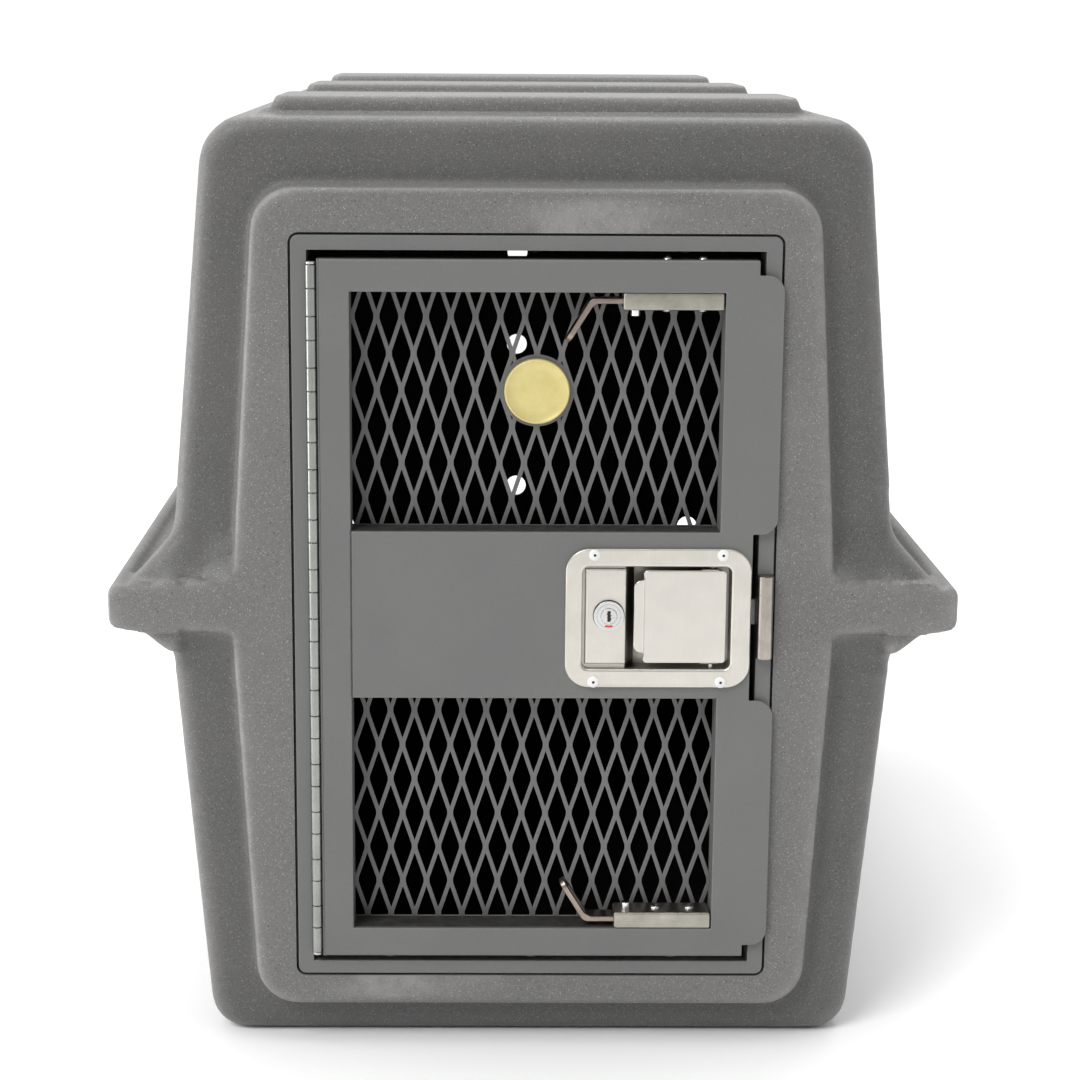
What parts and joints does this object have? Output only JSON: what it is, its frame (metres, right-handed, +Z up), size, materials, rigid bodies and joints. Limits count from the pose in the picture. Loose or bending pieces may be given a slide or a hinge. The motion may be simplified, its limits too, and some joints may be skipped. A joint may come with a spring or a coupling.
{
  "type": "pet transport carrier",
  "caption": "Rigid moulded pet transport carrier with carrying shelves, roof ribs and a hinged mesh door held by a locking paddle latch and slide bolts.",
  "frame": {"origin": "on the floor, at the centre of the base's bounding box", "axes": "+Z up, the door faces -Y, +X to the right seen from the front; the door is hinged on -X"},
  "size_m": [0.644, 0.914, 0.7315],
  "materials": {
    "shell": "moulded, speckled, satin",
    "frame_paint": "fine textured powder coat",
    "door_paint": "fine textured powder coat",
    "mesh_paint": "powder coat on expanded metal",
    "hinge_steel": "coated continuous hinge",
    "pin_steel": "drawn wire",
    "stainless": "satin",
    "bright_metal": "bright",
    "zinc": "zinc plated",
    "lock_metal": "satin chrome",
    "brass": "machined",
    "badge": "enamelled disc",
    "spring_steel": "oiled wire",
    "plug_rubber": "moulded"
  },
  "bodies": {
    "carrier": {"body_shell": "shell", "drain_plug": "plug_rubber", "door_frame": "frame_paint", "frame_screws": "zinc", "threaded_inserts": "brass", "frame_hinge_leaf": "hinge_steel", "frame_leaf_rivets": "bright_metal", "hinge_pin": "pin_steel", "strike_plate": "stainless", "strike_rivets": "bright_metal"},
    "door": {"door_skin": "door_paint", "door_hinge_leaf": "hinge_steel", "door_leaf_rivets": "bright_metal", "mesh_upper": "mesh_paint", "mesh_lower": "mesh_paint", "badge_disc": "badge", "badge_screw": "bright_metal", "latch_housing": "stainless", "latch_rivets": "bright_metal", "lock_barrel": "lock_metal", "lock_nut": "zinc", "paddle_pin": "pin_steel", "paddle_spring": "spring_steel", "bolt_spring": "spring_steel", "latch_bracket": "zinc", "upper_slide_housing": "stainless", "upper_stop_pin": "bright_metal", "upper_slide_screws": "bright_metal", "lower_slide_housing": "stainless", "lower_stop_pin": "bright_metal", "lower_slide_screws": "bright_metal"},
    "paddle": {"paddle": "stainless"},
    "latch_bolt": {"latch_bolt": "zinc"},
    "lock_plug": {"lock_plug": "lock_metal", "lock_cam": "zinc"},
    "upper_slide": {"upper_slide_bar": "stainless"},
    "lower_slide": {"lower_slide_bar": "stainless"}
  },
  "joints": [
    {"name": "door_swing", "type": "hinge", "parent": "carrier", "child": "door", "pos_m": [-0.1658, -0.448, 0.345], "axis": [0, 0, -1], "range_deg": [0, 165]},
    {"name": "paddle_pull", "type": "hinge", "parent": "door", "child": "paddle", "pos_m": [0.1345, -0.447, 0.3457], "axis": [0, 0, 1], "range_deg": [0, 35], "stiffness_Nm_per_rad": 0.4, "springref_deg": -11.46},
    {"name": "latch_bolt_slide", "type": "slide", "parent": "door", "child": "latch_bolt", "axis": [-1, 0, 0], "range_m": [0, 0.012], "deforming": ["bolt_spring"]},
    {"name": "lock_turn", "type": "hinge", "parent": "door", "child": "lock_plug", "pos_m": [0.0565, -0.44, 0.348], "axis": [0, -1, 0], "range_deg": [0, 90]},
    {"name": "upper_slide_pull", "type": "slide", "parent": "door", "child": "upper_slide", "axis": [-1, 0, 0], "range_m": [0, 0.012]},
    {"name": "lower_slide_pull", "type": "slide", "parent": "door", "child": "lower_slide", "axis": [-1, 0, 0], "range_m": [0, 0.012]}
  ],
  "couplings": [
    {"joint": "latch_bolt_slide", "follows": "paddle_pull", "m_per_rad": 0.0196}
  ]
}
